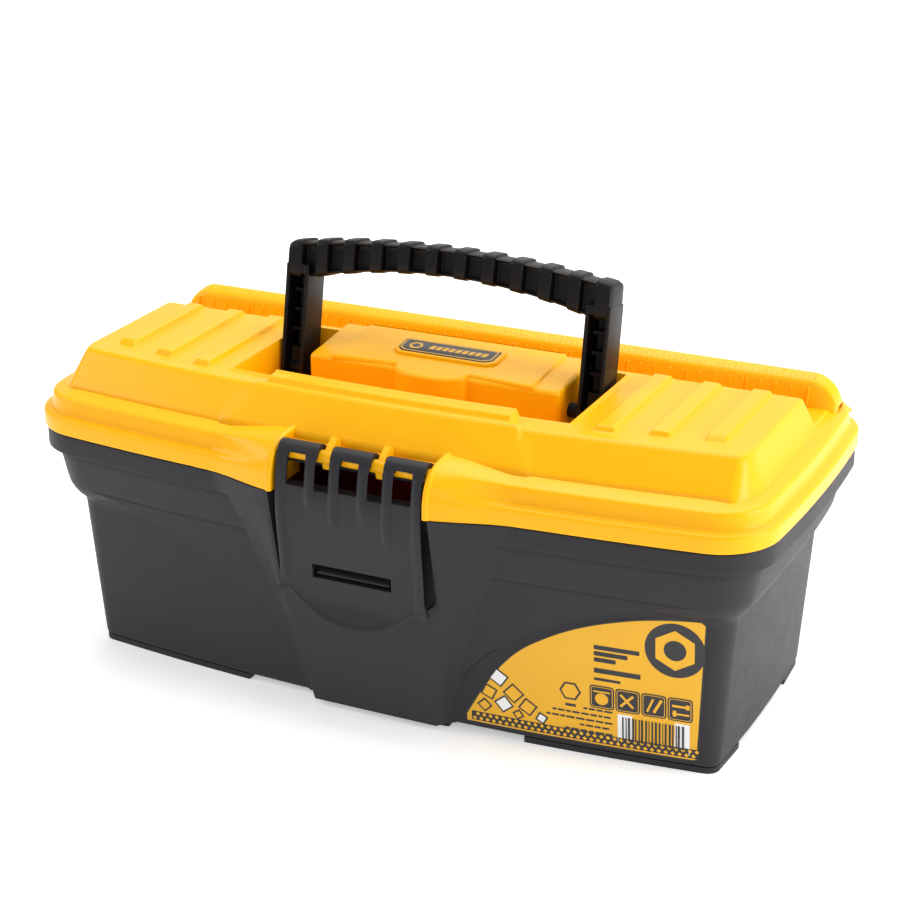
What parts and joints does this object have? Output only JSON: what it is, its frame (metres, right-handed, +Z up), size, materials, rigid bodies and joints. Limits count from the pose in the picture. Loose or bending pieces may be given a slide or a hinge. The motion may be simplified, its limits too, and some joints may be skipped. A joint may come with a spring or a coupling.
{
  "type": "toolbox with tray",
  "caption": "Small moulded plastic toolbox with a hinged lid carrying a rule, a folding handle, a front latch and a lift-out inner tray.",
  "frame": {"origin": "middle of the base on the surface it stands on, under the middle of the centre foot", "axes": "+X along the long side, to the right of someone facing the latch; -Y towards the latch; +Z up"},
  "size_m": [0.3192, 0.1672, 0.1765],
  "materials": {
    "body_plastic": "fine-grained dark grey polypropylene",
    "lid_plastic": "satin orange-yellow polypropylene",
    "handle_plastic": "satin black polypropylene",
    "latch_plastic": "satin dark grey polypropylene",
    "tray_plastic": "satin dark red polypropylene",
    "label_paper": "printed film",
    "badge_film": "printed film",
    "steel": "plain wire"
  },
  "bodies": {
    "tub_body": {"tub": "body_plastic", "apron": "body_plastic", "pylon": "body_plastic", "feet": "body_plastic", "tray_rests": "body_plastic", "catch": "body_plastic", "tub_knuckles": "body_plastic", "hinge_pin_left": "steel", "hinge_pin_right": "steel", "label": "label_paper"},
    "lid_body": {"lid": "lid_plastic", "lid_rim": "lid_plastic", "lid_shoulder": "lid_plastic", "boss": "lid_plastic", "rule": "lid_plastic", "latch_bar": "lid_plastic", "lid_knuckles": "lid_plastic", "badge": "badge_film", "handle_pin_left": "handle_plastic", "handle_pin_right": "handle_plastic"},
    "handle_body": {"handle": "handle_plastic"},
    "latch_body": {"latch": "latch_plastic"},
    "tray_body": {"tray": "tray_plastic", "tray_grip": "tray_plastic"}
  },
  "joints": [
    {"name": "lid_hinge", "type": "hinge", "parent": "tub_body", "child": "lid_body", "pos_m": [0, 0.0746, 0.1004], "axis": [-1, 0, 0], "range_deg": [0, 105]},
    {"name": "handle_pivot", "type": "hinge", "parent": "lid_body", "child": "handle_body", "pos_m": [0, -0.0035, 0.118], "axis": [1, 0, 0], "range_deg": [0, 70]},
    {"name": "latch_pivot", "type": "hinge", "parent": "lid_body", "child": "latch_body", "pos_m": [0, -0.0796, 0.1146], "axis": [-1, 0, 0], "range_deg": [0, 115]},
    {"name": "tray_lift", "type": "slide", "parent": "tub_body", "child": "tray_body", "axis": [0, 0, 1], "range_m": [0, 0.006]}
  ]
}
